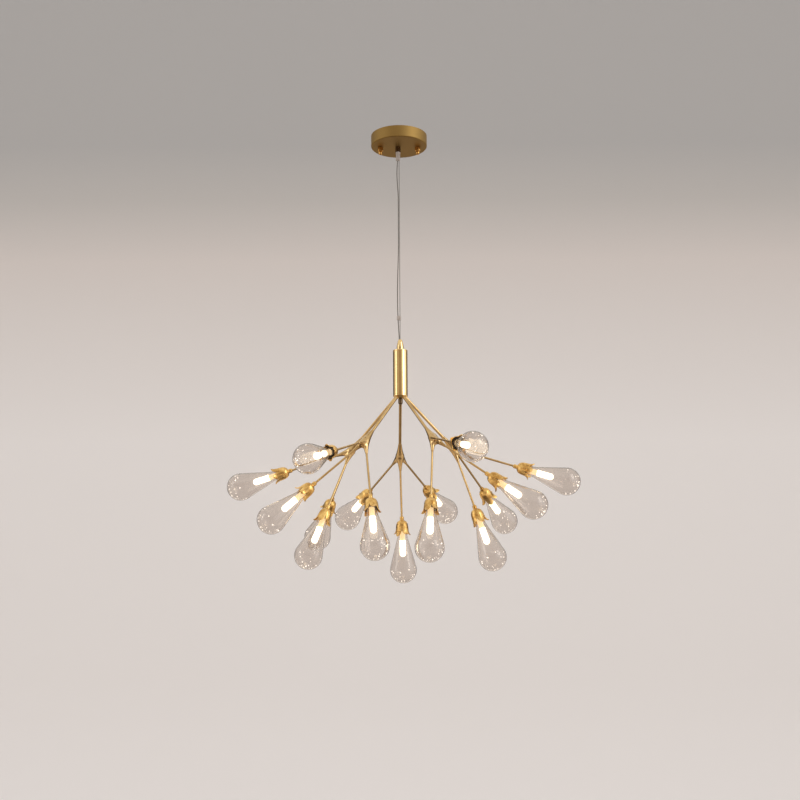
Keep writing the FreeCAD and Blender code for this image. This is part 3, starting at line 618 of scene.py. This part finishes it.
def calyx(name, curls):
    """The flower calyx: a turned collar and bell, then five sepals drawn up from its rim and narrowed to
    a point.  Each sepal curls outwards by its own share."""
    piece = turned(name, BELL, 40, tidy=False)
    take(piece)
    bpy.ops.object.mode_set(mode="EDIT")
    rim_radius, rim_height = BELL[-1]
    for sepal, curl in enumerate(curls):
        middle = math.radians(FIRST_SEPAL_ANGLE + 360 / SEPALS * sepal)
        spoke = Vector((math.cos(middle), math.sin(middle), 0))
        reach = math.cos(math.radians(SEPAL_HALF_ANGLE)) * rim_radius * MM
        pick(piece, lambda co: abs(co.z - rim_height * MM) < NEAR and co.dot(spoke) > reach)
        radius, height = rim_radius, rim_height
        rows = [
            tuple(c + (o - c) * curl for c, o in zip(closed, opened))
            for closed, opened in zip(CLOSED_SEPAL, OPEN_SEPAL)
        ]
        for row_radius, row_height, width in rows:
            move = (spoke * (row_radius - radius) + UP * (row_height - height)) * MM
            bpy.ops.mesh.extrude_region_move(TRANSFORM_OT_translate={"value": move})
            hub = spoke * row_radius * MM + UP * row_height * MM
            bpy.ops.transform.resize(value=(width, width, 1), center_override=hub)
            radius, height = row_radius, row_height
        tip_radius, tip_height = (c + (o - c) * curl for c, o in zip(CLOSED_TIP, OPEN_TIP))
        move = (spoke * (tip_radius - radius) + UP * (tip_height - height)) * MM
        bpy.ops.mesh.extrude_region_move(TRANSFORM_OT_translate={"value": move})
        bpy.ops.mesh.merge(type="CENTER")
        rib = spoke.cross(UP)
        pick(piece, lambda co: co.z > RIB_FOOT and abs(co.dot(rib)) < NEAR and co.dot(spoke) > 0)
        bpy.ops.transform.translate(value=spoke * RIB_RISE)
    bpy.ops.object.mode_set(mode="OBJECT")
    outward(piece)
    modified(piece, "SOLIDIFY", thickness=CALYX_WALL, offset=-1.0, use_even_offset=True)
    modified(piece, "SUBSURF", levels=2, render_levels=2)
    return smoothed(piece, 60)


# ---------------------------------------------------------------- glass drop and lamp
# Heights and radii in millimetres, up from the calyx's foot.
NECK_FOOT, NECK_TOP, BALL_CENTRE = 18.0, 43.0, 113.7
NECK_RADIUS, BALL_RADIUS, GLASS_WALL = 10.5, 28.5, 1.5
FLANK_RINGS = (0.08, 0.2, 0.35, 0.5, 0.65, 0.8, 0.92)
BUBBLES = 24
BUBBLE_SIZES = (0.5, 0.65, 0.65, 0.85, 1.1)
BUBBLE_SINK = 0.1
LAMP_FOOT, LAMP_WAIST, CAPSULE_END = 30.8, 50.8, 79.3
BASE_RADIUS, CAPSULE_RADIUS = 5.7, 6.5
RIBS, RIB_STEP = 6, 2.6


def drop_outline(neck_radius, ball_radius):
    """A drop's outline from the foot of its neck to its far end: neck, straight flank and ball."""
    rise = BALL_CENTRE - NECK_TOP
    flank = math.asin(ball_radius / math.hypot(rise, neck_radius)) - math.atan2(neck_radius, rise)
    touch_radius = ball_radius * math.cos(flank)
    touch_height = BALL_CENTRE - ball_radius * math.sin(flank)
    points = [(neck_radius, NECK_FOOT), (neck_radius, 30.0), (neck_radius, 39.0)]
    points.append((neck_radius + 0.35, NECK_TOP + 0.6))
    for share in FLANK_RINGS:
        height = NECK_TOP + (touch_height - NECK_TOP) * share
        points.append((neck_radius + (touch_radius - neck_radius) * share, height))
    return points + arc(BALL_CENTRE, ball_radius, -math.degrees(flank), 22)


def glass_drop():
    """The blown drop as a closed wall: inside from its far end down, round the foot, and up outside."""
    inside = drop_outline(NECK_RADIUS - GLASS_WALL, BALL_RADIUS - GLASS_WALL)
    outside = drop_outline(NECK_RADIUS, BALL_RADIUS)
    piece = turned("drop_pattern", inside[::-1] + outside, 64)
    return smoothed(piece, 50)


def bubble_cluster(seed):
    """Small air bubbles on the inner wall of a drop's far half."""
    chance = random.Random(seed)
    bubbles = []
    for _ in range(BUBBLES):
        polar = math.radians(chance.uniform(-12, 80))
        around = chance.uniform(0, 2 * math.pi)
        size = chance.choice(BUBBLE_SIZES) * MM
        reach = (BALL_RADIUS - GLASS_WALL - BUBBLE_SINK) * MM - size
        level = math.cos(polar)
        spot = Vector((level * math.cos(around), level * math.sin(around), math.sin(polar))) * reach
        alone()
        bpy.ops.mesh.primitive_ico_sphere_add(
            subdivisions=2, radius=size, location=spot + UP * BALL_CENTRE * MM
        )
        bubble = bpy.context.object
        bubble.scale = (1, 1, chance.uniform(0.8, 1.3))
        bubbles.append(bubble)
    cluster = joined(bubbles, "bubble_pattern")
    set_in_place(cluster, cluster.matrix_world.copy())
    return smoothed(cluster, 80)


def lamp_base():
    """The lamp's cream base with moulded ribs."""
    wide, narrow = BASE_RADIUS, BASE_RADIUS - 0.35
    outline = [(0, LAMP_FOOT), (wide - 0.5, LAMP_FOOT), (wide, LAMP_FOOT + 0.6)]
    for rib in range(RIBS):
        foot = LAMP_FOOT + 2.2 + rib * RIB_STEP
        outline += [(wide, foot), (narrow, foot + 0.4), (narrow, foot + 1.0), (wide, foot + 1.4)]
    outline += [(wide, LAMP_WAIST - 0.6), (wide - 0.4, LAMP_WAIST), (0, LAMP_WAIST)]
    return smoothed(turned("base_pattern", outline, 32), 30)


def lamp_capsule():
    """The frosted capsule with a rim at its foot and a round end."""
    rim, body = CAPSULE_RADIUS, CAPSULE_RADIUS - 0.25
    outline = [(0, LAMP_WAIST), (rim - 0.4, LAMP_WAIST), (rim, 51.3), (rim, 52.6), (body, 53.2), (body, 65.0)]
    outline += arc(CAPSULE_END, rim, 0, 8)
    return smoothed(turned("capsule_pattern", outline, 32), 40)


# Each calyx is spun about its arm by a share of its own, so that no two look alike.
BRANCH_SPIN = 47
ARM_SPIN = 113


def dress_lamps():
    """The calyxes, drops, bubbles and lamps on every arm, each made once and copied."""
    calyx_patterns = [
        calyx("calyx_one", (0.2, 1.0, 0.15, 0.6, 0.0)),
        calyx("calyx_two", (0.1, 0.5, 0.05, 0.85, 0.3)),
        calyx("calyx_three", (0.6, 0.1, 0.35, 0.0, 0.8)),
    ]
    drop, base, capsule = glass_drop(), lamp_base(), lamp_capsule()
    bubbles = [bubble_cluster(seed) for seed in (3, 8, 21)]
    for number, branch in enumerate(BRANCHES):
        body = "branch_" + branch
        sets = {"calyx_set": [], "glass_set": [], "bubble_set": [], "lamp_base_set": [], "lamp_glow_set": []}
        for i in range(3):
            place = arm_place(branch, i, BRANCH_SPIN * number + ARM_SPIN * i)
            patterns = (calyx_patterns[(i + number) % 3], drop, bubbles[(i + 2 * number) % 3], base, capsule)
            for made, pattern in zip(sets.values(), patterns):
                made.append(set_in_place(copied(pattern, pattern.name + "_copy"), place))
        wholes = {name: joined(pieces, name + "_" + branch) for name, pieces in sets.items()}
        fitted(wholes["calyx_set"], "calyx", body, "calyx_gold", "calyxes_" + branch)
        fitted(wholes["glass_set"], "glass", body, "drop_glass", "glass_drops_" + branch)
        # The bubbles' finish glows as a painted glint.
        fitted(wholes["bubble_set"], "bubble", body, "drop_glass")
        fitted(wholes["lamp_base_set"], "base", body, "lamp_warm", "led_capsules_" + branch)
        fitted(wholes["lamp_glow_set"], "glow", body, "lamp_warm", "led_capsules_" + branch)
    removed(*calyx_patterns, drop, base, capsule, *bubbles)


# ---------------------------------------------------------------- forks
FORK_WEB = 5.2 * MM
FORK_GRAIN = 0.7 * MM


def dress_forks():
    """Each fork as one smooth casting: its ball and flares melted together, then swelled and drawn back,
    which fills the crotches with webs."""
    for branch in BRANCHES:
        node = frame["nodes"]["fork_" + branch]
        piece = copied(node, "fork_web_" + branch)
        piece.parent = None
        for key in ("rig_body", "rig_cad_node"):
            if key in piece:
                del piece[key]
        outward(piece)
        modified(piece, "REMESH", mode="VOXEL", voxel_size=FORK_GRAIN)
        for swell in (FORK_WEB, -FORK_WEB):
            modified(piece, "DISPLACE", strength=swell, mid_level=0.0)
            modified(piece, "REMESH", mode="VOXEL", voxel_size=FORK_GRAIN)
            modified(piece, "SMOOTH", factor=0.6, iterations=14)
        smoothed(piece, 80)
        fitted(piece, "rod", "branch_" + branch, "rod_gold", "fork_" + branch)


# ---------------------------------------------------------------- stem and canopy
# Heights down from the ceiling and radii, in millimetres.
STEM_TOP, STEM_FOOT = -479.0, -571.0
STEM_RADIUS, STEM_BORE, STEM_EDGE = 15.0, 13.5, 0.3


def dress_stem():
    """The stem's tube and the cap on its top, with their fine edges."""
    bore, edge, out = STEM_BORE, STEM_RADIUS - STEM_EDGE, STEM_RADIUS
    tube = [(bore, STEM_FOOT), (edge, STEM_FOOT), (out, STEM_FOOT + STEM_EDGE)]
    tube += [(out, STEM_TOP - STEM_EDGE), (edge, STEM_TOP), (bore, STEM_TOP)]
    shell = smoothed(turned("stem_shell", tube + [tube[0]], 96))
    fitted(shell, "stem", "stem", "stem_gold", "stem_tube")
    cap = [(5.05, -484.0), (13.4, -484.0), (13.4, STEM_TOP), (14.75, STEM_TOP), (out, -478.7), (out, -477.2)]
    cap += [(14.9, -476.7), (14.6, -476.3), (14.1, -476.05), (13.0, -476.0), (7.2, -476.0), (5.05, -476.0)]
    lid = smoothed(turned("stem_cap", cap + [cap[0]], 96))
    fitted(lid, "stem", "stem", "stem_gold", "stem_top_cap")


def dress_frame_nodes():
    """Finishes for the pieces that keep their own shape."""
    finish_of = {
        "ceiling_crossbar": "steel",
        "canopy_cup": "canopy",
        "canopy_studs": "steel",
        "canopy_knob_nuts": "knob",
        "led_driver": "white",
        "terminal_block": "cream",
        "cord_grip_nut": "steel",
        "cord_grip_collar": "dark",
        "cord_grip_cone": "grip",
        "cord_grip_bush": "grip",
        "wire_top_end": "wire",
        "driver_lead": "sheath",
        "cable_clip": "grip",
        "wire_end_ferrule": "steel",
        "finial": "stem",
        "wire_seat_washer": "inner",
        "stem_bridge": "inner",
        "branch_hub": "stem",
        "hub_bolt": "dark",
        "stem_lead": "sheath",
        "lead_splice": "white",
    }
    for branch in BRANCHES:
        finish_of["main_rod_" + branch] = "rod"
        finish_of["arms_" + branch] = "rod"
        finish_of["lampholders_" + branch] = "ceramic"
    for name, finish in finish_of.items():
        for slot in frame["nodes"][name].material_slots:
            slot.material = FINISHES[finish]


# ---------------------------------------------------------------- room, light and camera
def studio_paper():
    """Pale paper with painted shade: its colour darkens the higher it hangs."""
    finish = Finish("pale studio paper")
    height = finish.axes()[2]
    # Colours by height: painted shade that darkens the backdrop towards the top.
    painted_shade_stops = [
        (0.08, (0.850, 0.812, 0.785)),
        (0.33, (0.750, 0.700, 0.665)),
        (0.45, (0.700, 0.640, 0.600)),
        (0.58, (0.540, 0.510, 0.480)),
        (0.70, (0.460, 0.445, 0.430)),
    ]
    paper = finish.node("ShaderNodeValToRGB", {"stops": painted_shade_stops}, {0: (height / 3.0).clamped()})[0]
    fibres = finish.noise(1.3, 3.0)
    return finish.surface(Base_Color=finish.blend(fibres * 0.04, paper, (0.6, 0.57, 0.55)), Roughness=0.9)


FLOOR_SIDE = 40
FLOOR_MIDDLE = (0, -15.0, -2.35)
WALL_HEIGHT = 9
SWEEP = 1.2


def build_room():
    """A pale floor that sweeps up into a pale backdrop."""
    alone()
    bpy.ops.mesh.primitive_plane_add(size=FLOOR_SIDE, location=FLOOR_MIDDLE)
    floor = bpy.context.object
    floor.name = "studio_floor"
    bpy.ops.object.transform_apply(location=True)
    bpy.ops.object.mode_set(mode="EDIT")
    pick(floor, lambda co: co.y > FLOOR_MIDDLE[1])
    bpy.ops.mesh.extrude_region_move(TRANSFORM_OT_translate={"value": (0, 0, WALL_HEIGHT)})
    bpy.ops.object.mode_set(mode="OBJECT")
    modified(floor, "BEVEL", width=SWEEP, segments=10)
    smoothed(floor, 60)
    floor.data.materials.append(studio_paper())
    floor.visible_glossy = False


LAMP_AIM = Vector((0, 0, -0.6))
SOFT_WHITE = (1.0, 0.97, 0.92)


def light(name, size, power, place):
    """A soft square lamp at a place, aimed at the middle of the object."""
    data = bpy.data.lights.new(name, "AREA")
    data.shape = "RECTANGLE"
    data.size, data.size_y = size
    data.energy = power
    data.color = SOFT_WHITE
    piece = bpy.data.objects.new(name, data)
    piece.location = place
    piece.rotation_euler = (LAMP_AIM - Vector(place)).to_track_quat("-Z", "Y").to_euler()
    bpy.context.scene.collection.objects.link(piece)


def surround():
    """The studio round the lamp: even and pale, but polished metal and glass see its soft boxes at both
    sides and its darker back."""
    studio = Finish("studio surround", "worlds")
    x, y, z = studio.axes()
    front = x.angle_from(0 - y)
    stops = [
        (0.00, (0.10, 0.08, 0.06)),
        (0.16, (0.06, 0.05, 0.04)),
        (0.21, (0.66, 0.62, 0.56)),
        (0.25, (0.66, 0.62, 0.56)),
        (0.29, (0.50, 0.43, 0.35)),
        (0.41, (0.52, 0.43, 0.34)),
        (0.46, (0.30, 0.21, 0.14)),
        (0.54, (0.36, 0.27, 0.19)),
        (0.63, (1.50, 1.47, 1.42)),
        (0.75, (1.50, 1.47, 1.42)),
        (0.80, (0.32, 0.26, 0.20)),
        (0.90, (0.10, 0.08, 0.06)),
        (1.00, (0.10, 0.08, 0.06)),
    ]
    boxes = studio.node("ShaderNodeValToRGB", {"stops": stops}, {0: front * (0.5 / math.pi) + 0.5})[0]
    with_ceiling = studio.blend((z * 4.0 - 1.1).clamped(), boxes, (0.86, 0.80, 0.71))
    with_horizon = studio.blend((0 - z * 4.0 - 0.2).clamped(), with_ceiling, (0.80, 0.66, 0.52))
    seen = studio.blend((0 - z * 3.0 - 1.5).clamped(), with_horizon, (0.17, 0.125, 0.085))
    polish = studio.node("ShaderNodeLightPath")[GLOSSY_RAY]
    plain = studio.node("ShaderNodeBackground", None, {0: (0.93, 0.91, 0.905), 1: 0.92})[0]
    reflected = studio.node("ShaderNodeBackground", None, {0: seen, 1: 1.0})[0]
    mixed = studio.node("ShaderNodeMixShader", None, {0: polish, 1: plain, 2: reflected})[0]
    studio.node("ShaderNodeOutputWorld", None, {0: mixed})
    studio.material.cycles.sampling_method = "NONE"
    bpy.context.scene.world = studio.material


def light_room():
    """Plain soft studio light: the surround and two large soft lamps."""
    surround()
    light("key", (1.2, 2.0), 20, (2.3, -1.6, 0.7))
    light("fill", (1.0, 2.0), 10, (-2.6, -0.9, -0.1))
    bpy.context.scene.view_settings.view_transform = "Standard"


GLARE = {"Threshold": 1.0, "Size": 0.4, "Strength": 0.5}


def soft_glow():
    """The faint bloom that a lens gives round lit lamps."""
    scene = bpy.context.scene
    scene.use_nodes = True
    tree = scene.node_tree
    tree.nodes.clear()
    layers = tree.nodes.new("CompositorNodeRLayers")
    glare = tree.nodes.new("CompositorNodeGlare")
    glare.glare_type = "BLOOM"
    glare.quality = "HIGH"
    for name, value in GLARE.items():
        glare.inputs[name].default_value = value
    out = tree.nodes.new("CompositorNodeComposite")
    tree.links.new(layers.outputs["Image"], glare.inputs["Image"])
    tree.links.new(glare.outputs["Image"], out.inputs["Image"])


SENSOR_WIDTH = 36.0
LENS = 59.4
CAMERA_PLACE = Vector((-1.04, -2669.2, -1150.2)) * MM
CAMERA_PITCH = math.radians(12.02)
CAMERA_ROLL = math.radians(-0.343)


def set_camera():
    """The photograph's viewpoint: below the lamp, looking up at it."""
    data = bpy.data.cameras.new("viewpoint")
    data.sensor_width = SENSOR_WIDTH
    data.lens = LENS
    camera = bpy.data.objects.new("viewpoint", data)
    tilt = Matrix.Rotation(math.pi / 2 + CAMERA_PITCH, 4, "X")
    camera.matrix_world = Matrix.Translation(CAMERA_PLACE) @ tilt @ Matrix.Rotation(CAMERA_ROLL, 4, "Z")
    bpy.context.scene.collection.objects.link(camera)
    bpy.context.scene.camera = camera


set_camera()
hang_cords()
dress_frame_nodes()
dress_stem()
dress_forks()
dress_lamps()
build_room()
light_room()
soft_glow()
